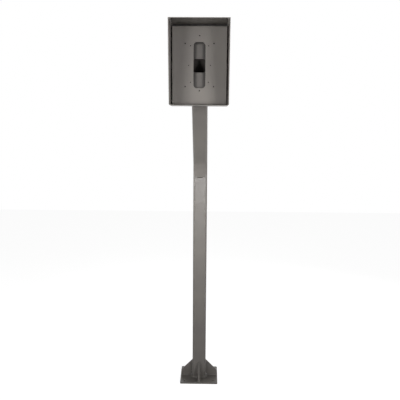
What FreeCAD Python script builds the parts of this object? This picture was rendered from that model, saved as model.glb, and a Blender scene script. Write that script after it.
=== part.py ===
"""Gate intercom post: welded square-tube gooseneck with a hooded housing. Millimetres, +Z up, front is -Y.

The origin is the centre of the underside of the base plate.
"""

import FreeCAD
import Part

import math
import os

V = FreeCAD.Vector

# Driving sizes, post
TUBE = 50.0  # outside width of the square tube
TUBE_WALL = 3.0
TUBE_CORNER = 8.0  # outside corner radius
LEAN = 45.0  # degrees from upright, toward the front
BEND_R = 100.0  # radius of the tube's centre line in the bend
HEAD_Z = 1130.0  # height at which the centre line meets the housing
REACH = 314.0  # from the post's axis forward to the rear of the housing

# Driving sizes, press mark on the inner side of the bend
MARK_BELOW = 7.0  # lowest point of the mark, under the start of the bend
MARK_TILT = 13.0  # degrees, the pad's lean into the wall
MARK_R = 28.0  # radius of the pad's rim
MARK_LONG = 18.0  # from the lowest point to the line where the pad leaves the wall
HEEL_TILT = 42.0  # degrees, steeper strip that makes the dark crescent
HEEL_LONG = 4.0

# Driving sizes, foot
PLATE = 140.0
PLATE_T = 6.0
PLATE_CORNER = 5.0
ANCHOR_PITCH = 110.0
ANCHOR_D = 12.0
CABLE_D = 36.0
GUSSET_T = 5.0
GUSSET_H = 62.0
GUSSET_INSET = 2.0  # from the edge of the plate
GUSSET_SNIPE = 9.0  # corner cut away over the foot weld
FOOT_BEAD = 5.0
GUSSET_BEAD = 3.5
BEAD_LAND = 0.3

# Driving sizes, hooded housing
SHEET = 2.0
HEAD_W = 172.0
HEAD_H = 236.0
DEPTH_TOP = 108.0  # inside depth under the roof
DEPTH_BOTTOM = 77.0  # inside depth over the floor
WRAP_R = 5.0  # outside radius of the two folds
CABLE_OPEN_W = 39.0
CABLE_OPEN_H = 39.0
CABLE_OPEN_R = 6.0
SEAM_BEAD = 4.0
NECK_BEAD = 5.0

# Driving sizes, face plate
GAP_SIDE = 3.3
GAP_TOP = 5.5
GAP_BOTTOM = 3.0
FACE_PROUD = 15.5  # front of the face plate above the housing back
FACE_EDGE_R = 2.0
SLOT_W = 35.0
SLOT_H = 131.0
SLOT_R = 10.0
SLOT_UP = 1.0  # centre of the slot above the centre of the plate
OUTER_X, OUTER_Z, OUTER_UP, OUTER_D = 84.0, 123.0, 1.5, 4.5
INNER_X, INNER_Z, INNER_UP, INNER_D = 53.0, 104.0, 4.5, 3.5
MIDDLE_X, MIDDLE_UP, MIDDLE_D = 64.0, 1.0, 3.5
AXIS_Z, AXIS_UP, AXIS_D = 157.0, 6.5, 4.5
TACK_LONG = 14.0
TACK_H = 3.0

# Worked out from the driving sizes
LEAN_RAD = math.radians(LEAN)
TURN_Z = HEAD_Z - REACH / math.tan(LEAN_RAD)
BEND_Z = TURN_Z - BEND_R * math.tan(LEAN_RAD / 2)
BACK_REAR = -REACH
BACK_FRONT = BACK_REAR - SHEET
GUSSET_OUT = PLATE / 2 - GUSSET_INSET
FACE_W = HEAD_W - 2 * SHEET - 2 * GAP_SIDE
FACE_H = HEAD_H - 2 * SHEET - GAP_TOP - GAP_BOTTOM
HEAD_BOTTOM = HEAD_Z - HEAD_H / 2
HEAD_TOP = HEAD_Z + HEAD_H / 2
FACE_Z = HEAD_BOTTOM + SHEET + GAP_BOTTOM + FACE_H / 2
FACE_FRONT = BACK_FRONT - FACE_PROUD


def rounded_wire(w, h, r, place):
    """Closed outline w by h with corner radius r; place turns (u, v) into a point."""
    a, b = w / 2, h / 2
    k = r * (1 - math.sqrt(0.5))
    edges = []
    corners = [(a, b, -1, -1), (-a, b, 1, -1), (-a, -b, 1, 1), (a, -b, -1, 1)]
    ends = []
    for i, (cu, cv, su, sv) in enumerate(corners):
        first, last = (cu, cv + sv * r), (cu + su * r, cv)
        if i % 2:
            first, last = last, first
        middle = (cu + su * k, cv + sv * k)
        edges.append(Part.Arc(place(*first), place(*middle), place(*last)).toShape())
        ends.append((first, last))
    for i in range(4):
        edges.append(Part.makeLine(place(*ends[i][1]), place(*ends[(i + 1) % 4][0])))
    return Part.Wire(Part.__sortEdges__(edges))


def flat(z):
    """Outline lying level at height z."""
    return lambda u, v: V(u, v, z)


def upright(y, z):
    """Outline standing across the front at depth y, centred at height z."""
    return lambda u, v: V(u, y, z + v)


def poly_prism(points, along):
    """Prism of a closed polygon."""
    return Part.Face(Part.makePolygon(points + [points[0]])).extrude(along)


def cylinder_y(d, y0, y1, x, z):
    """Cylinder along Y for holes through upright sheets."""
    return Part.makeCylinder(d / 2, y1 - y0, V(x, y0, z), V(0, 1, 0))


def bent_bar(size, corner, low, past):
    """Rounded square bar that follows the post's centre line, from height low to past the housing."""
    section = Part.Face(rounded_wire(size, size, corner, flat(low)))
    straight = section.extrude(V(0, 0, BEND_Z - low))
    turn = Part.Face(rounded_wire(size, size, corner, flat(BEND_Z)))
    axis = V(0, -BEND_R, BEND_Z)
    bend = turn.revolve(axis, V(1, 0, 0), LEAN)
    turn.rotate(axis, V(1, 0, 0), LEAN)
    aim = V(0, -math.sin(LEAN_RAD), math.cos(LEAN_RAD))
    run = (REACH - BEND_R * (1 - math.cos(LEAN_RAD))) / math.sin(LEAN_RAD)
    lean = turn.extrude(aim * (run + past))
    return straight.fuse([bend, lean]).removeSplitter()


def slanted_block(tilt, y, z, grow):
    """Block in front of a plane through (y, z) that faces forward and down by tilt degrees."""
    side = 4 * TUBE
    block = Part.makeBox(side, side, side, V(-side / 2, -side, -side / 2))
    block.rotate(V(0, 0, 0), V(1, 0, 0), tilt)
    a = math.radians(tilt)
    block.translate(V(0, y + grow * math.cos(a), z + grow * math.sin(a)))
    return block


def press_mark(grow):
    """What the round press pad takes from the inner side of the bend, larger by grow all round."""
    low_z = BEND_Z - MARK_BELOW
    line_z = low_z + MARK_LONG
    inner_r = BEND_R - TUBE / 2
    line_y = -TUBE / 2 - inner_r + math.sqrt(inner_r**2 - (line_z - BEND_Z) ** 2)
    heel_y = line_y + (MARK_LONG - HEEL_LONG) * math.tan(math.radians(MARK_TILT))
    floor = slanted_block(MARK_TILT, line_y, line_z, grow)
    heel = slanted_block(HEEL_TILT, heel_y, low_z + HEEL_LONG, grow)
    pad = Part.makeCylinder(MARK_R + grow, TUBE, V(0, 0, low_z + MARK_R), V(0, -1, 0))
    half = TUBE / 2 - TUBE_CORNER + grow
    keep = Part.makeBox(2 * half, TUBE, line_z - low_z + grow, V(-half, -TUBE, low_z - grow))
    return floor.fuse(heel).common(pad).common(keep)


def gooseneck():
    """Bent tube with the press mark, cut upright where it meets the housing."""
    outer = bent_bar(TUBE, TUBE_CORNER, PLATE_T, TUBE * 2).cut(press_mark(0.0))
    bore = bent_bar(TUBE - 2 * TUBE_WALL, TUBE_CORNER - TUBE_WALL, PLATE_T - 1, TUBE * 2)
    bore = bore.cut(press_mark(TUBE_WALL))
    beyond = Part.makeBox(4 * TUBE, 4 * TUBE, 8 * TUBE, V(-2 * TUBE, BACK_REAR - 4 * TUBE, HEAD_Z - 4 * TUBE))
    return outer.cut(bore).cut(beyond)


def base_plate():
    """Square foot with anchor holes and the cable hole under the bore."""
    plate = Part.Face(rounded_wire(PLATE, PLATE, PLATE_CORNER, flat(0))).extrude(V(0, 0, PLATE_T))
    holes = [Part.makeCylinder(CABLE_D / 2, PLATE_T)]
    for sx in (-1, 1):
        for sy in (-1, 1):
            at = V(sx * ANCHOR_PITCH / 2, sy * ANCHOR_PITCH / 2, 0)
            holes.append(Part.makeCylinder(ANCHOR_D / 2, PLATE_T, at))
    return plate.cut(holes)


def turned(shape, quarter):
    """Copy turned about the post's axis by quarter turns; 0 points to +X."""
    copy = shape.copy()
    copy.rotate(V(0, 0, 0), V(0, 0, 1), 90 * quarter)
    return copy


def gusset():
    """Stiffener on the +X side: 45 degree edge, upright land, corner cut away over the foot weld."""
    x0, x1, z0 = TUBE / 2, GUSSET_OUT, PLATE_T
    land = z0 + GUSSET_H - (x1 - x0)
    points = [
        V(x0 + GUSSET_SNIPE, -GUSSET_T / 2, z0),
        V(x1, -GUSSET_T / 2, z0),
        V(x1, -GUSSET_T / 2, land),
        V(x0, -GUSSET_T / 2, z0 + GUSSET_H),
        V(x0, -GUSSET_T / 2, z0 + GUSSET_SNIPE),
    ]
    return poly_prism(points, V(0, GUSSET_T, 0))


def gusset_weld():
    """Four fillet beads of one gusset: both sides, along the plate and up the tube."""
    x0, x1, z0, b = TUBE / 2, GUSSET_OUT, PLATE_T, GUSSET_BEAD
    beads = []
    for s in (-1, 1):
        y = s * GUSSET_T / 2
        start = x0 + GUSSET_SNIPE + b / 2
        foot = [V(start, y, z0), V(start, y + s * b, z0), V(start, y, z0 + b)]
        beads.append(poly_prism(foot, V(x1 - b / 2 - start, 0, 0)))
        low = z0 + GUSSET_SNIPE + b / 2
        side = [V(x0, y, low), V(x0, y + s * b, low), V(x0 + b, y, low)]
        beads.append(poly_prism(side, V(0, 0, z0 + GUSSET_H - b - low)))
    return Part.makeCompound(beads)


def foot_weld():
    """Fillet bead round the foot of the tube."""
    low = rounded_wire(TUBE + 2 * FOOT_BEAD, TUBE + 2 * FOOT_BEAD, TUBE_CORNER + FOOT_BEAD, flat(PLATE_T))
    high = rounded_wire(
        TUBE + 2 * BEAD_LAND, TUBE + 2 * BEAD_LAND, TUBE_CORNER + BEAD_LAND, flat(PLATE_T + FOOT_BEAD)
    )
    skirt = Part.makeLoft([low, high], True, True)
    core = Part.Face(rounded_wire(TUBE, TUBE, TUBE_CORNER, flat(PLATE_T - 1))).extrude(V(0, 0, 3 * FOOT_BEAD))
    return skirt.cut(core)


def neck_weld():
    """Bead round the slanted end of the tube, on the rear of the housing."""
    tall = TUBE / math.sin(LEAN_RAD)
    wide = upright(BACK_REAR, HEAD_Z)
    rise = NECK_BEAD / math.tan(LEAN_RAD)
    near = upright(BACK_REAR + NECK_BEAD, HEAD_Z - rise)
    low = rounded_wire(TUBE + 2 * NECK_BEAD, tall + 2 * NECK_BEAD, TUBE_CORNER + NECK_BEAD, wide)
    high = rounded_wire(TUBE + 2 * BEAD_LAND, tall + 2 * BEAD_LAND, TUBE_CORNER + BEAD_LAND, near)
    skirt = Part.makeLoft([low, high], True, True)
    return skirt.cut(bent_bar(TUBE, TUBE_CORNER, PLATE_T, TUBE * 2))


def housing_back():
    """Sheet welded between the sides, with the cable opening over the bore of the tube."""
    w, h = HEAD_W - 2 * SHEET, HEAD_H - 2 * SHEET
    z = HEAD_Z
    r = WRAP_R - SHEET
    sheet = Part.Face(rounded_wire(w, h, r, upright(BACK_FRONT, z))).extrude(V(0, SHEET, 0))
    square_top = Part.makeBox(w, SHEET, h / 2, V(-w / 2, BACK_FRONT, z))
    opening = rounded_wire(CABLE_OPEN_W, CABLE_OPEN_H, CABLE_OPEN_R, upright(BACK_FRONT, z))
    return sheet.fuse(square_top).removeSplitter().cut(Part.Face(opening).extrude(V(0, SHEET, 0)))


def housing_wrap():
    """Sides and floor of the hood, one folded strip, the front edge cut on a slant."""
    deep = DEPTH_TOP + SHEET
    w, h = HEAD_W, HEAD_H - SHEET
    mid_z = HEAD_BOTTOM + h
    outline = rounded_wire(w, 2 * h, WRAP_R, upright(BACK_REAR - deep, mid_z))
    hollow = rounded_wire(w - 2 * SHEET, 2 * h - 2 * SHEET, WRAP_R - SHEET, upright(BACK_REAR - deep, mid_z))
    ring = Part.Face(outline).extrude(V(0, deep, 0)).cut(Part.Face(hollow).extrude(V(0, deep, 0)))
    top_z = HEAD_TOP - SHEET
    front_top, front_low = BACK_FRONT - DEPTH_TOP, BACK_FRONT - DEPTH_BOTTOM
    side = [
        V(-w, BACK_REAR, HEAD_BOTTOM - 1),
        V(-w, front_low, HEAD_BOTTOM - 1),
        V(-w, front_low, HEAD_BOTTOM + SHEET),
        V(-w, front_top, top_z),
        V(-w, BACK_REAR, top_z),
    ]
    return ring.common(poly_prism(side, V(2 * w, 0, 0)))


def housing_top():
    """Roof sheet lying on the sides."""
    deep = DEPTH_TOP + SHEET
    return Part.makeBox(HEAD_W, deep, SHEET, V(-HEAD_W / 2, BACK_REAR - deep, HEAD_TOP - SHEET))


def housing_seam_weld():
    """Hollow-faced beads in the inner top corners, where the roof meets the sides."""
    beads = []
    z = HEAD_TOP - SHEET
    for s in (-1, 1):
        x = s * (HEAD_W / 2 - SHEET)
        corner = V(x, BACK_FRONT, z)
        across, down = V(x - s * SEAM_BEAD, BACK_FRONT, z), V(x, BACK_FRONT, z - SEAM_BEAD)
        k = SEAM_BEAD * (1 - math.sqrt(0.5))
        hollow = Part.Arc(across, V(x - s * k, BACK_FRONT, z - k), down).toShape()
        outline = Part.Wire([Part.makeLine(corner, across), hollow, Part.makeLine(down, corner)])
        beads.append(Part.Face(outline).extrude(V(0, -(DEPTH_TOP - 2 * SEAM_BEAD), 0)))
    return Part.makeCompound(beads)


def face_holes():
    """Centres and diameters of the twelve holes, as (x, z, d)."""
    spots = []
    for sx in (-1, 1):
        for sz in (-1, 1):
            spots.append((sx * OUTER_X / 2, FACE_Z + OUTER_UP + sz * OUTER_Z / 2, OUTER_D))
            spots.append((sx * INNER_X / 2, FACE_Z + INNER_UP + sz * INNER_Z / 2, INNER_D))
        spots.append((sx * MIDDLE_X / 2, FACE_Z + MIDDLE_UP, MIDDLE_D))
        spots.append((0.0, FACE_Z + AXIS_UP + sx * AXIS_Z / 2, AXIS_D))
    return spots


def face_plate():
    """Folded tray: front sheet with slot and holes, four returns standing on the housing back."""
    box = Part.makeBox(FACE_W, FACE_PROUD, FACE_H, V(-FACE_W / 2, FACE_FRONT, FACE_Z - FACE_H / 2))
    rim = [e for e in box.Edges if all(abs(p.Point.y - FACE_FRONT) < 1e-6 for p in e.Vertexes)]
    box = box.makeFillet(FACE_EDGE_R, rim)
    hollow = Part.makeBox(
        FACE_W - 2 * SHEET,
        FACE_PROUD - SHEET,
        FACE_H - 2 * SHEET,
        V(-FACE_W / 2 + SHEET, FACE_FRONT + SHEET, FACE_Z - FACE_H / 2 + SHEET),
    )
    slot = rounded_wire(SLOT_W, SLOT_H, SLOT_R, upright(FACE_FRONT - 1, FACE_Z + SLOT_UP))
    cuts = [hollow, Part.Face(slot).extrude(V(0, SHEET + 2, 0))]
    cuts += [cylinder_y(d, FACE_FRONT - 1, FACE_FRONT + SHEET + 1, x, z) for x, z, d in face_holes()]
    return box.cut(cuts)


def face_tack_weld():
    """Short tacks in the shadow gap, from the returns to the housing back."""
    tacks = []
    y, h = BACK_FRONT, TACK_H
    for s in (-1, 1):
        x = s * FACE_W / 2
        for sz in (-1, 0, 1):
            z = FACE_Z + sz * FACE_H / 3 - TACK_LONG / 2
            tacks.append(poly_prism([V(x, y, z), V(x + s * h, y, z), V(x, y - h, z)], V(0, 0, TACK_LONG)))
    for s in (-1, 1):
        x = s * FACE_W / 4 - TACK_LONG / 2
        z = FACE_Z + FACE_H / 2
        tacks.append(poly_prism([V(x, y, z), V(x, y, z + h), V(x, y - h, z)], V(TACK_LONG, 0, 0)))
    return Part.makeCompound(tacks)


os.makedirs("parts", exist_ok=True)
NAMES = {0: "right", 1: "rear", 2: "left", 3: "front"}
shapes = {
    "base_plate": base_plate(),
    "gooseneck_tube": gooseneck(),
    "foot_weld": foot_weld(),
    "neck_weld": neck_weld(),
    "housing_back": housing_back(),
    "housing_wrap": housing_wrap(),
    "housing_top": housing_top(),
    "housing_seam_weld": housing_seam_weld(),
    "face_plate": face_plate(),
    "face_tack_weld": face_tack_weld(),
}
for quarter, side in NAMES.items():
    shapes["gusset_" + side] = turned(gusset(), quarter)
    shapes["gusset_" + side + "_weld"] = turned(gusset_weld(), quarter)
for name, shape in shapes.items():
    shape.exportStep("parts/" + name + ".step")
    box = shape.BoundBox
    print(name, "solids", len(shape.Solids), "valid", shape.isValid(), "volume", round(shape.Volume, 1))
    print("   box", [round(v, 2) for v in (box.XMin, box.XMax, box.YMin, box.YMax, box.ZMin, box.ZMax)])
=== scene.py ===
"""Looks of a gate intercom post: a welded steel gooseneck with a hooded housing, satin powder coat.

Sizes are in metres, or in millimetres where a name ends in mm.
"""

import logging
import math
from dataclasses import dataclass
from enum import Enum

import bmesh
import bpy
from mathutils import Matrix, Vector

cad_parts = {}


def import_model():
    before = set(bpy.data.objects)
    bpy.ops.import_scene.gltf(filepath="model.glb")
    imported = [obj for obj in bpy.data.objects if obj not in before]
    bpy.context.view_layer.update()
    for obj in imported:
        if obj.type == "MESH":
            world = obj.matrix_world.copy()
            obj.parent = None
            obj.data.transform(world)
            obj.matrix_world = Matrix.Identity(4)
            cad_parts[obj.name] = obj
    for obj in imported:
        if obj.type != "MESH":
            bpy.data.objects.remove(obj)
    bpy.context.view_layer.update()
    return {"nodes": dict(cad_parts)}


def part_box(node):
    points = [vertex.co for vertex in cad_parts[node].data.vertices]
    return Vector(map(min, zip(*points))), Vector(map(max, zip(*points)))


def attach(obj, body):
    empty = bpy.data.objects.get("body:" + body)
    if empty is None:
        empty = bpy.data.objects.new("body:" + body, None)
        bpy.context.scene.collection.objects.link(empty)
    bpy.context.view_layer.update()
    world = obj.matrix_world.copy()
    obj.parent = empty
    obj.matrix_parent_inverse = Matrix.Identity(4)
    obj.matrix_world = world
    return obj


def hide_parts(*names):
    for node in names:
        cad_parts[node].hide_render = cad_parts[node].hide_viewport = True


log = logging.getLogger("gate_post")

Point = tuple[float, float, float]
Span = tuple[float, float]

MM = 0.001
BODY = "root"
IMAGE_PX = 400
WHITE = "#ffffff"
# Typical of a polyester coat; the oxide skin of bare steel is given the same dull shine.
IOR = 1.5
# The tube's outer corner, and both ends of the middle line of its leaning arm.
TUBE_CORNER = 0.008
ELBOW = Vector((0.0, 0.0, 0.816))
ARM_END = Vector((0.0, -0.314, 1.130))
# A bead's line stands off the corner by this share of its leg.
STAND_OFF = 0.28
# In a copy of a node, points nearer than this become one, and faces flatter than this are joined.
MERGE_DISTANCE = 2e-6
FLAT_DEGREES = 0.3
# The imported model's sizes are read to a micrometre.
BOX_DIGITS = 6


def linear(hex_colour: str) -> tuple[float, float, float, float]:
    """Turns an sRGB hex colour into linear RGBA.

    Args:
        hex_colour: Six hex digits after a hash sign.

    Returns:
        Linear red, green, blue and an alpha of one.
    """
    parts = [int(hex_colour[i:i + 2], 16) / 255 for i in (1, 3, 5)]
    low_high = [v / 12.92 if v <= 0.04045 else ((v + 0.055) / 1.055) ** 2.4 for v in parts]
    return (*low_high, 1.0)


def node_box(node: str) -> tuple[Point, Point]:
    """Reads a node's box from the frame.

    Args:
        node: The CAD node's name.

    Returns:
        Its lowest and highest corners.
    """
    low, high = (tuple(round(v, BOX_DIGITS) for v in corner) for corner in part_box(node))
    return low, high


def add_node(tree: bpy.types.NodeTree, kind: str, settings: dict | None = None,
             inputs: dict | None = None) -> bpy.types.Node:
    """Adds one shader node with its settings, values and links.

    Args:
        tree: The node tree to add to.
        kind: The node's type name without its Shader prefix.
        settings: Attributes of the node.
        inputs: Socket name or index to a plain value, or to the output socket that feeds it.

    Returns:
        The new node.
    """
    node = tree.nodes.new("ShaderNode" + kind)
    for key, value in (settings or {}).items():
        setattr(node, key, value)
    for key, value in (inputs or {}).items():
        if isinstance(value, bpy.types.NodeSocket):
            tree.links.new(value, node.inputs[key])
        else:
            node.inputs[key].default_value = value
    return node


def new_tree(name: str) -> tuple[bpy.types.Material, bpy.types.NodeTree, bpy.types.Node]:
    """Makes an empty node material.

    Args:
        name: The material's name.

    Returns:
        The material, its node tree and its output node.
    """
    material = bpy.data.materials.new(name)
    material.use_nodes = True
    tree = material.node_tree
    tree.nodes.clear()
    return material, tree, add_node(tree, "OutputMaterial")


class Texture(Enum):
    """How strongly the orange peel shows, by the steel under the coat."""

    ROLLED = 0.6
    WELD = 1.6


@dataclass(frozen=True)
class PowderCoat:
    """Satin polyester powder coat, sprayed and baked on mild steel.

    It gives the eye an even warm grey with a soft broad sheen, a faint orange peel and no brush marks.
    """

    name: str
    texture: Texture
    tone_light: str = "#6f6b66"
    tone_dark: str = "#676360"
    cloud_mm: float = 140.0
    cloud_span: Span = (0.35, 0.65)
    # The real peel is finer than the render can show, so it is drawn this coarse.
    peel_mm: float = 3.0
    peel_depth_mm: float = 0.03
    roughness: float = 0.31
    roughness_change: float = 0.03
    metallic: float = 0.0

    def build(self) -> bpy.types.Material:
        """Builds the node material.

        Returns:
            The coat's material.
        """
        material, tree, output = new_tree(self.name)
        place = add_node(tree, "TexCoord").outputs["Object"]
        cloud = add_node(tree, "TexNoise", inputs={
            "Vector": place, "Scale": 1 / (self.cloud_mm * MM), "Detail": 3.0, "Roughness": 0.55})
        tone = add_node(tree, "ValToRGB", inputs={"Fac": cloud.outputs["Fac"]})
        stops = zip(tone.color_ramp.elements, self.cloud_span, (self.tone_dark, self.tone_light))
        for stop, position, colour in stops:
            stop.position, stop.color = position, linear(colour)
        peel = add_node(tree, "TexNoise", inputs={
            "Vector": place, "Scale": 1 / (self.peel_mm * MM), "Detail": 2.0, "Roughness": 0.5})
        bump = add_node(tree, "Bump", inputs={
            "Height": peel.outputs["Fac"], "Strength": 1.0,
            "Distance": self.peel_depth_mm * self.texture.value * MM})
        gloss = add_node(tree, "MapRange", inputs={
            "Value": cloud.outputs["Fac"], "To Min": self.roughness - self.roughness_change,
            "To Max": self.roughness + self.roughness_change})
        shader = add_node(tree, "BsdfPrincipled", inputs={
            "Base Color": tone.outputs["Color"], "Roughness": gloss.outputs["Result"],
            "Metallic": self.metallic, "IOR": IOR, "Normal": bump.outputs["Normal"]})
        tree.links.new(shader.outputs[0], output.inputs["Surface"])
        return material


@dataclass(frozen=True)
class MillScale:
    """Bare hot-rolled steel inside the tube, where the powder doesn't reach.

    It gives the eye a dark, dull grey-brown skin with faint patches.
    """

    name: str = "mill_scale"
    tone_light: str = "#524e4b"
    tone_dark: str = "#413d3a"
    patch_mm: float = 18.0
    patch_detail: float = 5.0
    patch_grain: float = 0.6
    roughness: float = 0.62

    def build(self) -> bpy.types.Material:
        """Builds the node material.

        Returns:
            The material of the skin.
        """
        material, tree, output = new_tree(self.name)
        place = add_node(tree, "TexCoord").outputs["Object"]
        shader = add_node(tree, "BsdfPrincipled", inputs={
            "Base Color": self.tone(tree, place), "Roughness": self.roughness, "IOR": IOR})
        tree.links.new(shader.outputs[0], output.inputs["Surface"])
        return material

    def tone(self, tree: bpy.types.NodeTree, place: bpy.types.NodeSocket) -> bpy.types.NodeSocket:
        """Draws the patches of the scale.

        Args:
            tree: The material's tree.
            place: Object coordinates.

        Returns:
            The colour of the skin.
        """
        patch = add_node(tree, "TexNoise", inputs={
            "Vector": place, "Scale": 1 / (self.patch_mm * MM), "Detail": self.patch_detail,
            "Roughness": self.patch_grain})
        steel = add_node(tree, "ValToRGB", inputs={"Fac": patch.outputs["Fac"]})
        steel.color_ramp.elements[0].color = linear(self.tone_dark)
        steel.color_ramp.elements[1].color = linear(self.tone_light)
        return steel.outputs["Color"]


@dataclass(frozen=True)
class PaintedShadeSheet(MillScale):
    """The sheet behind the tray, in painted shade over faint patches of mill scale.

    It gives a darkened coat grey straight behind the slot, and near-black painted shade towards the
    slot's sides, in the shadow gap and behind the small holes, with a soft change between the two.
    """

    name: str = "painted_shade_behind_tray"
    # Painted shade: near-black tones for the shade in the recess behind the face plate.
    tone_light: str = "#322f2e"
    tone_dark: str = "#211f1e"
    patch_detail: float = 4.0
    patch_grain: float = 0.5
    # The coat's grey, darkened as painted shade for the recess straight behind the slot.
    shaded_coat_tone: str = "#575350"
    slot_z: float = 1.12975
    # Distances from the slot's middle: the darkened coat grey holds up to the first, and the painted
    # shade is full from the second.
    side_mm: Span = (5.0, 21.0)
    end_mm: Span = (58.0, 70.0)

    def tone(self, tree: bpy.types.NodeTree, place: bpy.types.NodeSocket) -> bpy.types.NodeSocket:
        """Lays the darkened coat grey straight behind the slot over painted shade that grows towards the
        slot's sides and ends.

        Args:
            tree: The material's tree.
            place: Object coordinates.

        Returns:
            The colour of the sheet, painted shade included.
        """
        axes = add_node(tree, "SeparateXYZ", inputs={"Vector": place})
        up = add_node(tree, "Math", {"operation": "SUBTRACT"}, {0: axes.outputs["Z"], 1: self.slot_z})
        # Painted shade: each fade runs from the coat's grey at zero to full shade at one, towards the
        # slot's sides and ends.
        bare = []
        for source, (near, far) in ((axes.outputs["X"], self.side_mm), (up.outputs[0], self.end_mm)):
            away = add_node(tree, "Math", {"operation": "ABSOLUTE"}, {0: source})
            fade = add_node(tree, "MapRange", {"interpolation_type": "SMOOTHSTEP"}, {
                "Value": away.outputs[0], "From Min": near * MM, "From Max": far * MM})
            bare.append(fade.outputs["Result"])
        share = add_node(tree, "Math", {"operation": "MAXIMUM"}, {0: bare[0], 1: bare[1]})
        both = add_node(tree, "Mix", {"data_type": "RGBA"}, {
            "Factor": share.outputs[0], 6: linear(self.shaded_coat_tone), 7: super().tone(tree, place)})
        return both.outputs[2]


@dataclass(frozen=True)
class Lamp:
    """One soft lamp: a lit square that faces a point, by default the post's neck."""

    name: str
    place: Point
    side: float
    watts: float
    spread_degrees: float
    aim: Point = (0.0, -0.2, 1.0)

    def hang(self) -> None:
        """Hangs the lamp in the scene."""
        data = bpy.data.lights.new(self.name, "AREA")
        data.shape, data.size = "SQUARE", self.side
        data.energy, data.spread = self.watts, math.radians(self.spread_degrees)
        lamp = bpy.data.objects.new(self.name, data)
        bpy.context.collection.objects.link(lamp)
        lamp.location = self.place
        lamp.rotation_euler = (Vector(self.aim) - Vector(self.place)).to_track_quat("-Z", "Y").to_euler()


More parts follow.
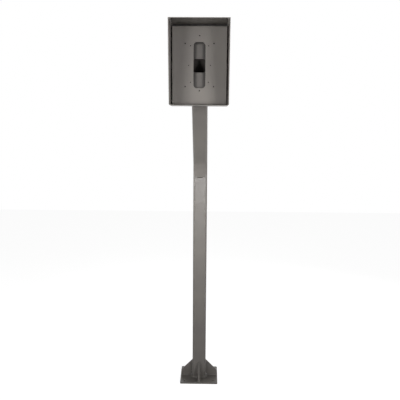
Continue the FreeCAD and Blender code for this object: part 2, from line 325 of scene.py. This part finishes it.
@dataclass
class Studio:
    """Pale floor, soft lamps, and the camera of the photograph."""

    floor_size: float = 8.0
    floor_tone: str = "#b4b4b4"
    floor_glow: float = 0.94
    # The backdrop is mirrored dimly up to the first Y, and white from the second.
    floor_fade: Span = (-0.15, 0.5)
    sky_fade: Span = (-0.3, 0.4)
    near_side: float = 0.35
    ambient: float = 0.04
    sensor_mm: float = 36.0
    focal_px: float = 546.6
    principal_y_px: float = 214.0
    eye: Point = (0.0299, -1.983, 0.962)
    pitch: float = 0.1644
    yaw: float = -0.0153
    roll: float = 0.0069
    lamps: tuple[Lamp, ...] = (
        Lamp("low_front", (-0.04, -2.3, 0.68), 0.3, 0.17, 22.0, aim=(0.0, -0.1, 0.62)),
        Lamp("left", (-1.2, -1.95, 1.0), 0.8, 5.4, 70.0),
        Lamp("right", (1.2, -1.95, 1.0), 0.8, 4.2, 70.0),
        Lamp("far_left", (-1.6, -1.5, 1.0), 0.8, 2.5, 80.0),
        Lamp("far_right", (1.6, -1.5, 1.0), 0.8, 2.1, 80.0),
        Lamp("right_high", (1.2, -1.9, 1.7), 0.8, 1.8, 80.0, aim=(0.0, -0.1, 1.0)),
        Lamp("behind", (1.2, 1.6, 1.3), 1.2, 6.0, 120.0, aim=(0.0, -0.1, 0.8)))

    def build(self) -> None:
        """Makes the camera, the floor, the world and the lamps."""
        self.camera()
        self.floor()
        self.world()
        for lamp in self.lamps:
            lamp.hang()

    def camera(self) -> None:
        """Places the camera where the photograph was taken from."""
        data = bpy.data.cameras.new("photo_view")
        data.sensor_width = self.sensor_mm
        data.lens = self.focal_px / IMAGE_PX * self.sensor_mm
        data.shift_y = (self.principal_y_px - IMAGE_PX / 2) / IMAGE_PX
        eye = bpy.data.objects.new("photo_view", data)
        bpy.context.collection.objects.link(eye)
        forward = Vector((math.sin(self.yaw) * math.cos(self.pitch),
                          math.cos(self.yaw) * math.cos(self.pitch), -math.sin(self.pitch)))
        level = Vector((math.cos(self.yaw), -math.sin(self.yaw), 0.0))
        upright = level.cross(forward)
        right = math.cos(self.roll) * level + math.sin(self.roll) * upright
        up = math.cos(self.roll) * upright - math.sin(self.roll) * level
        matrix = Matrix((right, up, -forward)).transposed().to_4x4()
        matrix.translation = Vector(self.eye)
        eye.matrix_world = matrix
        bpy.context.scene.camera = eye

    def seen_white(self, tree: bpy.types.NodeTree, place: bpy.types.NodeSocket,
                   fade: Span) -> bpy.types.NodeSocket:
        """Lets the backdrop look white, and its reflection dimmer on the camera's side of the post.

        Args:
            tree: The tree of the floor or the world.
            place: Where the ray lands, or the way it looks.
            fade: The Y up to which a reflection is dim, and the Y from which it is white.

        Returns:
            How white the backdrop is for the ray.
        """
        ray = add_node(tree, "LightPath")
        along = add_node(tree, "SeparateXYZ", inputs={"Vector": place})
        white = add_node(tree, "MapRange", inputs={
            "Value": along.outputs["Y"], "From Min": fade[0], "From Max": fade[1],
            "To Min": self.near_side, "To Max": 1.0})
        gloss = add_node(tree, "Math", {"operation": "MULTIPLY"},
                         {0: ray.outputs["Is Glossy Ray"], 1: white.outputs["Result"]})
        seen = add_node(tree, "Math", {"operation": "MAXIMUM"},
                        {0: ray.outputs["Is Camera Ray"], 1: gloss.outputs[0]})
        seen = add_node(tree, "Math", {"operation": "MAXIMUM"},
                        {0: seen.outputs[0], 1: ray.outputs["Is Transmission Ray"]})
        return seen.outputs[0]

    def floor(self) -> None:
        """Lays a white floor that still takes the post's shadow."""
        bpy.ops.mesh.primitive_plane_add(size=self.floor_size, location=(0, 0, 0))
        floor = bpy.context.object
        floor.name = floor.data.name = "floor"
        material, tree, output = new_tree("white_floor")
        seen = self.seen_white(tree, add_node(tree, "TexCoord").outputs["Object"], self.floor_fade)
        strength = add_node(tree, "Math", {"operation": "MULTIPLY"}, {0: seen, 1: self.floor_glow})
        glow = add_node(tree, "Emission", inputs={
            "Color": linear(WHITE), "Strength": strength.outputs[0]})
        paint = add_node(tree, "BsdfDiffuse", inputs={"Color": linear(self.floor_tone)})
        both = add_node(tree, "AddShader", inputs={0: paint.outputs[0], 1: glow.outputs[0]})
        tree.links.new(both.outputs[0], output.inputs["Surface"])
        floor.data.materials.append(material)

    def world(self) -> None:
        """Puts white behind the post, and an even soft light round it."""
        world = bpy.data.worlds.new("studio")
        world.use_nodes = True
        bpy.context.scene.world = world
        tree = world.node_tree
        tree.nodes.clear()
        seen = self.seen_white(tree, add_node(tree, "TexCoord").outputs["Generated"], self.sky_fade)
        strength = add_node(tree, "MapRange", inputs={
            "Value": seen, "To Min": self.ambient, "To Max": 1.0})
        sky = add_node(tree, "Background", inputs={
            "Color": linear(WHITE), "Strength": strength.outputs[0]})
        output = add_node(tree, "OutputWorld")
        tree.links.new(sky.outputs[0], output.inputs["Surface"])


def only(piece: bpy.types.Object) -> None:
    """Selects and activates one piece and nothing else.

    Args:
        piece: The piece to work on.
    """
    bpy.ops.object.select_all(action="DESELECT")
    piece.select_set(True)
    bpy.context.view_layer.objects.active = piece


def modify(piece: bpy.types.Object, kind: str, **settings: object) -> None:
    """Adds a modifier to a piece and applies it.

    Args:
        piece: The piece to change.
        kind: The modifier's type.
        **settings: The modifier's own settings.
    """
    only(piece)
    modifier = piece.modifiers.new(kind.title(), kind)
    for key, value in settings.items():
        setattr(modifier, key, value)
    bpy.ops.object.modifier_apply(modifier=modifier.name)


def settle(piece: bpy.types.Object) -> None:
    """Puts a piece's place, turn and size into its mesh, so that its object sits at the origin.

    Args:
        piece: The piece to settle.
    """
    only(piece)
    bpy.ops.object.transform_apply(location=True, rotation=True, scale=True)


def coat_piece(piece: bpy.types.Object, coat: bpy.types.Material, node: str) -> None:
    """Dresses a piece, lets it stand for its node and has it ride with the post.

    Args:
        piece: The finished piece.
        coat: Its material.
        node: The node it stands for.
    """
    piece.data.materials.clear()
    piece.data.materials.append(coat)
    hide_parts(node)
    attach(piece, BODY)
    log.info("%s: %d faces", piece.name, len(piece.data.polygons))


@dataclass
class SteelPart:
    """A cut, folded or bent piece of steel whose sharp edges were broken before coating."""

    node: str
    edge_mm: float = 0.5
    sharp_degrees: float = 28.0
    edge_segments: int = 2
    smooth_degrees: float = 35.0

    def build(self, coat: bpy.types.Material) -> bpy.types.Object:
        """Breaks the edges of a merged copy of the node and coats it.

        Args:
            coat: The coat's material.

        Returns:
            The finished piece.
        """
        source = bpy.data.objects[self.node]
        piece = bpy.data.objects.new(self.node + "_coated", source.data.copy())
        bpy.context.collection.objects.link(piece)
        only(piece)
        bpy.ops.object.mode_set(mode="EDIT")
        bpy.ops.mesh.select_all(action="SELECT")
        bpy.ops.mesh.customdata_custom_splitnormals_clear()
        bpy.ops.mesh.remove_doubles(threshold=MERGE_DISTANCE)
        bpy.ops.mesh.dissolve_limited(angle_limit=math.radians(FLAT_DEGREES))
        bpy.ops.object.mode_set(mode="OBJECT")
        self.soften(piece)
        modify(piece, "BEVEL", width=self.edge_mm * MM, segments=self.edge_segments,
               limit_method="ANGLE", angle_limit=math.radians(self.sharp_degrees),
               use_clamp_overlap=True)
        only(piece)
        bpy.ops.object.shade_smooth_by_angle(angle=math.radians(self.smooth_degrees))
        modify(piece, "WEIGHTED_NORMAL", mode="FACE_AREA", keep_sharp=True)
        coat_piece(piece, coat, self.node)
        return piece

    def soften(self, piece: bpy.types.Object) -> None:
        """Rounds edges that the tools left rounder than the rest; a plain part has none.

        Args:
            piece: The merged copy of the node; not used by a plain part.
        """


@dataclass
class BentTube(SteelPart):
    """The bent tube: its press mark has rolled edges, and its bore is bare steel."""

    node: str = "gooseneck_tube"
    edge_mm: float = 0.4
    sharp_degrees: float = 24.0
    # The box round the press mark, which leaves out the tube's own round corners.
    mark_low: Point = (-0.0178, -0.026, 0.7655)
    mark_high: Point = (0.0178, -0.0150, 0.7880)
    mark_mm: float = 1.3
    mark_segments: int = 4
    mark_degrees: float = 7.0
    # A face of the bore looks at the middle line from further off than this.
    bore_reach: float = 0.010

    def soften(self, piece: bpy.types.Object) -> None:
        """Rounds the edges of the press mark.

        Args:
            piece: The merged copy of the tube.
        """
        mesh = bmesh.new()
        mesh.from_mesh(piece.data)
        weight = mesh.edges.layers.float.new("bevel_weight_edge")
        for edge in mesh.edges:
            inside = all(low <= at <= high for corner in edge.verts
                         for low, at, high in zip(self.mark_low, corner.co, self.mark_high))
            if inside and math.degrees(edge.calc_face_angle(0.0)) > self.mark_degrees:
                edge[weight] = 1.0
        mesh.to_mesh(piece.data)
        mesh.free()
        modify(piece, "BEVEL", width=self.mark_mm * MM, segments=self.mark_segments,
               limit_method="WEIGHT", use_clamp_overlap=True)

    def line_bore(self, piece: bpy.types.Object, scale: bpy.types.Material) -> None:
        """Gives bare steel to the faces that look at the tube's own middle line.

        Args:
            piece: The finished tube.
            scale: The material of the bore.
        """
        piece.data.materials.append(scale)
        arm = ARM_END - ELBOW
        for face in piece.data.polygons:
            share = max(0.0, (face.center - ELBOW).dot(arm) / arm.length_squared)
            on_arm = ELBOW.lerp(ARM_END, share)
            on_post = Vector((0.0, 0.0, min(face.center.z, ELBOW.z)))
            away = min((face.center - on_arm, face.center - on_post), key=lambda v: v.length)
            if away.dot(face.normal) < -self.bore_reach:
                face.material_index = 1


@dataclass
class BeadRun:
    """One pass of weld: the points it runs through, and the way its face looks at each of them."""

    points: tuple[Vector, ...]
    faces: tuple[Vector, ...]

    @classmethod
    def straight(cls, start: Point | Vector, end: Point | Vector, face: Point | Vector) -> "BeadRun":
        """Makes a straight run.

        Args:
            start: Its first point.
            end: Its last point.
            face: The way its face looks.

        Returns:
            The run.
        """
        return cls((Vector(start), Vector(end)), (Vector(face), Vector(face)))

    @classmethod
    def ring(cls, half_a: float, half_b: float, stand_off: float, place: Matrix,
             steps: int = 6) -> "BeadRun":
        """Makes a run round the tube's rounded outline on a plate.

        Args:
            half_a: Half of the outline along the plate's first axis.
            half_b: Half of it along the second axis.
            stand_off: How far the bead's line stands off the tube and off the plate.
            place: Takes X and Y to the plate's two axes and Z to the way out of it.
            steps: Steps round each corner.

        Returns:
            The closed run.
        """
        points, faces = [], []
        side_a, side_b = half_a - TUBE_CORNER, half_b - TUBE_CORNER
        for quarter, (sign_a, sign_b) in enumerate(((1, 1), (-1, 1), (-1, -1), (1, -1))):
            centre = Vector((sign_a * side_a, sign_b * side_b, stand_off))
            for i in range(steps + 1):
                angle = math.radians(90 * (quarter + i / steps))
                out = Vector((math.cos(angle), math.sin(angle), 0.0))
                points.append(place @ (centre + out * (TUBE_CORNER + stand_off)))
                faces.append((place.to_3x3() @ (out + Vector((0.0, 0.0, 1.0)))).normalized())
        return cls(tuple(points + points[:1]), tuple(faces + faces[:1]))

    def places(self, pitch: float) -> list[Matrix]:
        """Spaces the scales of the bead evenly along the run.

        Args:
            pitch: Distance from one scale to the next.

        Returns:
            One placing matrix for each scale, X along the run and Z out of the face.
        """
        legs = [(b - a).length for a, b in zip(self.points, self.points[1:])]
        count = max(2, round(sum(legs) / pitch))
        step, placed, walked, leg = sum(legs) / count, [], 0.0, 0
        for i in range(count):
            target = (i + 0.5) * step
            while leg < len(legs) - 1 and walked + legs[leg] < target:
                walked += legs[leg]
                leg += 1
            share = (target - walked) / legs[leg]
            point = self.points[leg].lerp(self.points[leg + 1], share)
            along = (self.points[leg + 1] - self.points[leg]).normalized()
            face = self.faces[leg].lerp(self.faces[leg + 1], share)
            out = (face - along * face.dot(along)).normalized()
            turn = Matrix((along, out.cross(along), out)).transposed().to_4x4()
            placed.append(Matrix.Translation(point) @ turn)
        return placed


@dataclass
class WeldBead:
    """Rippled fillet beads: leaning scales laid one over the other and melted into one skin."""

    node: str
    leg: float
    runs: tuple[BeadRun, ...]
    pitch: float = 0.0022
    # Half sizes of a scale: along as a share of the pitch, across and high as shares of the leg.
    along_share: float = 0.95
    across_share: float = 0.80
    high_share: float = 0.42
    lean_degrees: float = 28.0
    segments: int = 16
    rings: int = 10
    melt: float = 0.00045
    smoothing: float = 0.5

    def build(self, coat: bpy.types.Material) -> None:
        """Lays every run, melts the scales together and coats the bead.

        Args:
            coat: The coat's material.
        """
        drop = self.drop()
        bpy.ops.object.select_all(action="DESELECT")
        for run in self.runs:
            for place in run.places(self.pitch):
                scale = bpy.data.objects.new("scale", drop.data.copy())
                bpy.context.collection.objects.link(scale)
                scale.matrix_world = place
                scale.select_set(True)
        bpy.context.view_layer.objects.active = scale
        bpy.data.objects.remove(drop)
        bpy.ops.object.join()
        bead = bpy.context.object
        bead.name = bead.data.name = self.node + "_bead"
        settle(bead)
        modify(bead, "REMESH", mode="VOXEL", voxel_size=self.melt)
        modify(bead, "SMOOTH", factor=self.smoothing, iterations=1)
        only(bead)
        bpy.ops.object.shade_smooth()
        coat_piece(bead, coat, self.node)

    def drop(self) -> bpy.types.Object:
        """Makes one scale: a flattened drop that leans back along the run.

        Returns:
            The scale, with the run along X and the bead's face along Z.
        """
        bpy.ops.object.select_all(action="DESELECT")
        bpy.ops.mesh.primitive_uv_sphere_add(segments=self.segments, ring_count=self.rings, radius=1.0)
        drop = bpy.context.object
        drop.scale = (self.pitch * self.along_share, self.leg * self.across_share,
                      self.leg * self.high_share)
        settle(drop)
        drop.data.transform(Matrix.Rotation(math.radians(self.lean_degrees), 4, "Y"))
        return drop


@dataclass
class Foot:
    """Base plate, its four gussets and the beads that hold them."""

    plate_edge_mm: float = 0.6
    foot_leg: float = 0.005
    gusset_leg: float = 0.0035
    gusset_pitch: float = 0.0019
    # The gusset's inner corner is cut off this far, to clear the bead round the tube.
    snipe: float = 0.009
    # The upright beads end this many legs below the gusset's top.
    top_legs: float = 1.8
    sides: tuple[tuple[str, float], ...] = (
        ("right", 0.0), ("rear", 90.0), ("left", 180.0), ("front", 270.0))

    def build(self, coat: bpy.types.Material, bead_coat: bpy.types.Material) -> None:
        """Builds the foot of the post.

        Args:
            coat: The coat of the plates.
            bead_coat: The coat of the beads.
        """
        SteelPart("base_plate", self.plate_edge_mm).build(coat)
        for side, degrees in self.sides:
            SteelPart("gusset_" + side).build(coat)
            runs = self.gusset_runs(degrees)
            WeldBead(f"gusset_{side}_weld", self.gusset_leg, runs, self.gusset_pitch).build(bead_coat)
        half, plate_top = node_box("gooseneck_tube")[1][0], node_box("base_plate")[1][2]
        on_plate = Matrix.Translation((0.0, 0.0, plate_top))
        run = BeadRun.ring(half, half, self.foot_leg * STAND_OFF, on_plate)
        WeldBead("foot_weld", self.foot_leg, (run,)).build(bead_coat)

    def gusset_runs(self, degrees: float) -> tuple[BeadRun, ...]:
        """Finds the four beads of one gusset.

        Args:
            degrees: Its turn round the post, from the right gusset.

        Returns:
            The runs along the plate and up the tube, on both sides.
        """
        turn = Matrix.Rotation(math.radians(degrees), 3, "Z")
        (x0, _, z0), (x1, half, z1) = node_box("gusset_right")
        leg, off, runs = self.gusset_leg, self.gusset_leg * STAND_OFF, []
        clear = self.snipe + leg
        for side in (-1, 1):
            y = side * (half + off)
            flat = ((x0 + clear, y, z0 + off), (x1 - leg, y, z0 + off), (0, side, 1))
            x, top = x0 + off, z1 - self.top_legs * leg
            upright = ((x, y, z0 + clear), (x, y, top), (1, side, 0))
            runs += [BeadRun.straight(*(turn @ Vector(v) for v in ends)) for ends in (flat, upright)]
        return tuple(runs)


@dataclass
class Gooseneck:
    """The bent square tube and the bead that holds it to the housing."""

    lean_degrees: float = 45.0
    neck_leg: float = 0.005

    def build(self, coat: bpy.types.Material, bead_coat: bpy.types.Material) -> None:
        """Builds the tube and its upper bead.

        Args:
            coat: The coat of the tube.
            bead_coat: The coat of the bead.
        """
        tube = BentTube()
        tube.line_bore(tube.build(coat), MillScale().build())
        half = node_box(tube.node)[1][0]
        half_tall = half / math.sin(math.radians(self.lean_degrees))
        on_wall = Matrix.Translation(ARM_END) @ Matrix.Rotation(math.radians(-90), 4, "X")
        run = BeadRun.ring(half, half_tall, self.neck_leg * STAND_OFF, on_wall)
        WeldBead("neck_weld", self.neck_leg, (run,)).build(bead_coat)


@dataclass
class Housing:
    """The hood: back sheet, folded sides and floor, roof, and the beads in its top corners."""

    back_edge_mm: float = 0.4
    seam_leg: float = 0.004
    seam_pitch: float = 0.002
    # The beads end this many legs behind the hood's front.
    front_legs: float = 2.0
    # The faces of the sheet's front look forward by at least this much, and lie this near its plane.
    forward: float = 0.9
    front_slack: float = 0.0002

    def build(self, coat: bpy.types.Material, bead_coat: bpy.types.Material) -> None:
        """Builds the hood.

        Args:
            coat: The coat of the sheets.
            bead_coat: The coat of the beads.
        """
        (_, sheet_y, _), (half, _, roof_z) = node_box("housing_back")
        sheet = SteelPart("housing_back", self.back_edge_mm).build(coat)
        # The sheet's front faces take the painted shade behind the tray.
        sheet.data.materials.append(PaintedShadeSheet().build())
        for face in sheet.data.polygons:
            if face.normal.y < -self.forward and face.center.y < sheet_y + self.front_slack:
                face.material_index = 1
        SteelPart("housing_wrap").build(coat)
        SteelPart("housing_top").build(coat)
        off, runs = self.seam_leg * STAND_OFF, []
        front = node_box("housing_wrap")[0][1] + self.front_legs * self.seam_leg
        for side in (-1, 1):
            x, z = side * (half - off), roof_z - off
            runs.append(BeadRun.straight((x, sheet_y - off, z), (x, front, z), (-side, 0, -1)))
        WeldBead("housing_seam_weld", self.seam_leg, tuple(runs), self.seam_pitch).build(bead_coat)


@dataclass
class FacePlate:
    """The slotted tray inside the hood and the tacks that hold it."""

    edge_mm: float = 0.25
    tack_long: float = 0.014
    tack_leg: float = 0.003
    tack_pitch: float = 0.002

    def build(self, coat: bpy.types.Material, bead_coat: bpy.types.Material) -> None:
        """Builds the tray and its tacks.

        Args:
            coat: The coat of the tray.
            bead_coat: The coat of the tacks.
        """
        SteelPart("face_plate", self.edge_mm).build(coat)
        (_, _, low), (half, back_y, high) = node_box("face_plate")
        off, reach, runs = self.tack_leg * STAND_OFF, self.tack_long / 2, []
        y = back_y - off
        for side in (-1, 1):
            for third in (-1, 0, 1):
                x, z = side * (half + off), (low + high) / 2 + third * (high - low) / 3
                runs.append(BeadRun.straight((x, y, z - reach), (x, y, z + reach), (side, -1, 0)))
            x, z = side * half / 2, high + off
            runs.append(BeadRun.straight((x - reach, y, z), (x + reach, y, z), (0, -1, 1)))
        WeldBead("face_tack_weld", self.tack_leg, tuple(runs), self.tack_pitch).build(bead_coat)


def main() -> None:
    """Builds the post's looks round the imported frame."""
    logging.basicConfig(level=logging.INFO, format="%(name)s: %(message)s")
    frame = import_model()
    bpy.ops.object.select_all(action="DESELECT")
    coat = PowderCoat("satin_powder_coat", Texture.ROLLED).build()
    bead_coat = PowderCoat("satin_powder_coat_on_weld", Texture.WELD).build()
    for node in frame["nodes"].values():
        for place in node.material_slots:
            place.material = coat
    Foot().build(coat, bead_coat)
    Gooseneck().build(coat, bead_coat)
    Housing().build(coat, bead_coat)
    FacePlate().build(coat, bead_coat)
    Studio().build()
    bpy.context.scene.view_settings.view_transform = "Standard"


if __name__ == "__main__":
    main()
